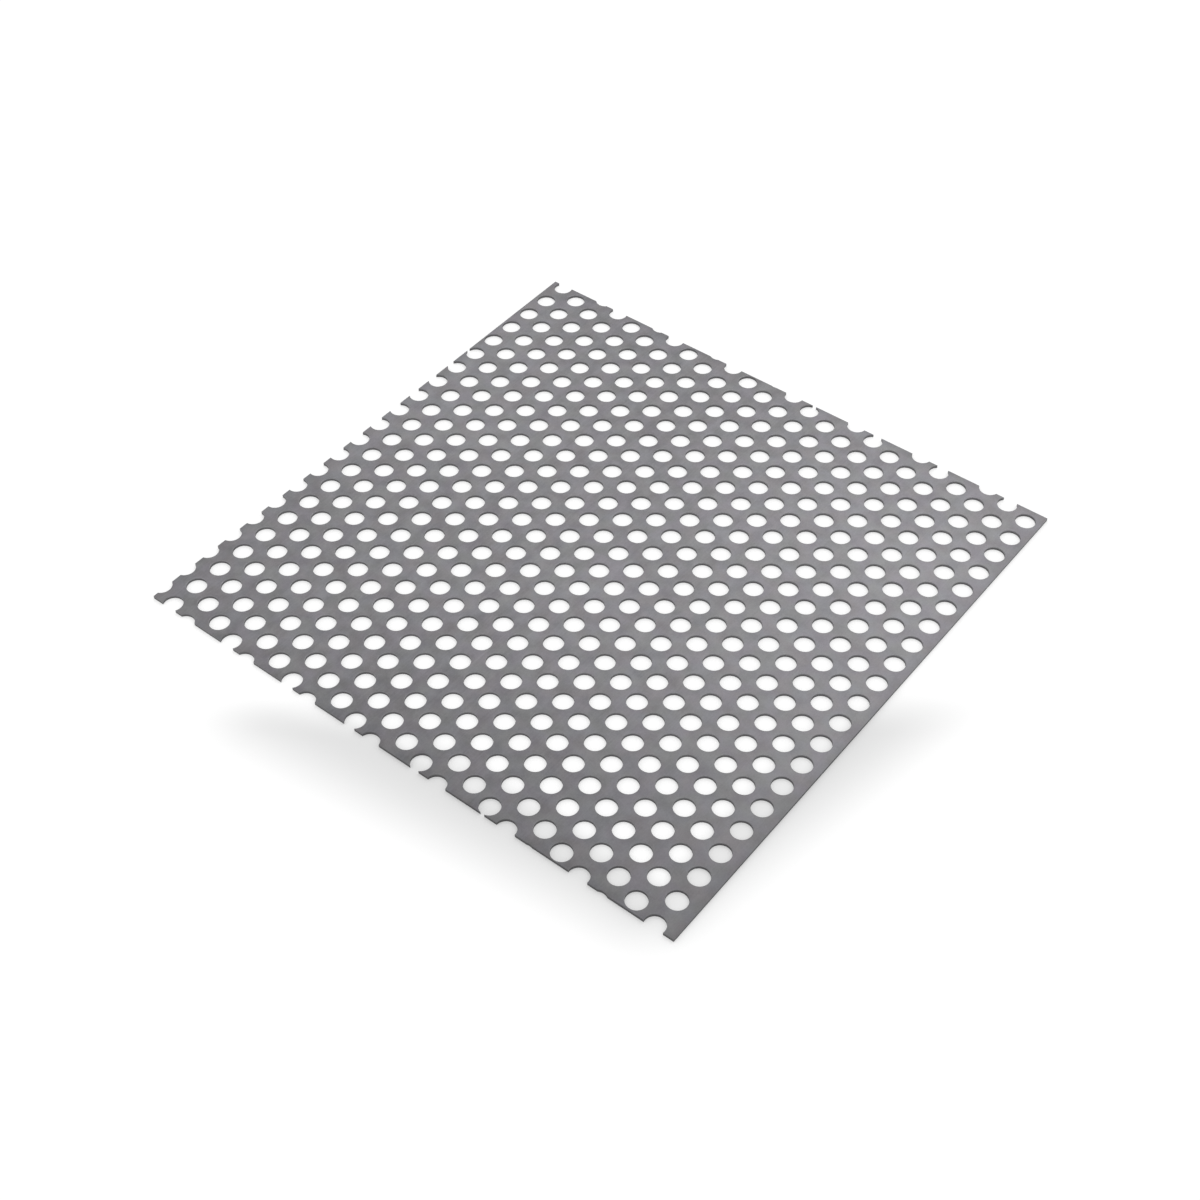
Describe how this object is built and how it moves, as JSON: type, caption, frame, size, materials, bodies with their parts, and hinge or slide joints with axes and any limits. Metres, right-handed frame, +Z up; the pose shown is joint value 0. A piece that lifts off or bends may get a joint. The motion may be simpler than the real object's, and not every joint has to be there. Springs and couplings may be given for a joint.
{
  "type": "perforated metal sheet",
  "caption": "Thin flat square of sheet steel, punched all over with round holes in staggered rows, plain along a side and cut through the holes along the others.",
  "frame": {"origin": "middle of the sheet's underside, where it lies on the floor", "axes": "+Z up out of the sheet's top face, +X across the rows of holes towards the plain edge, +Y along the rows"},
  "size_m": [0.1992, 0.1964, 0.001],
  "materials": {
    "sheet_steel": "satin mill finish"
  },
  "bodies": {
    "root": {"perforated_sheet": "sheet_steel"}
  },
  "joints": []
}
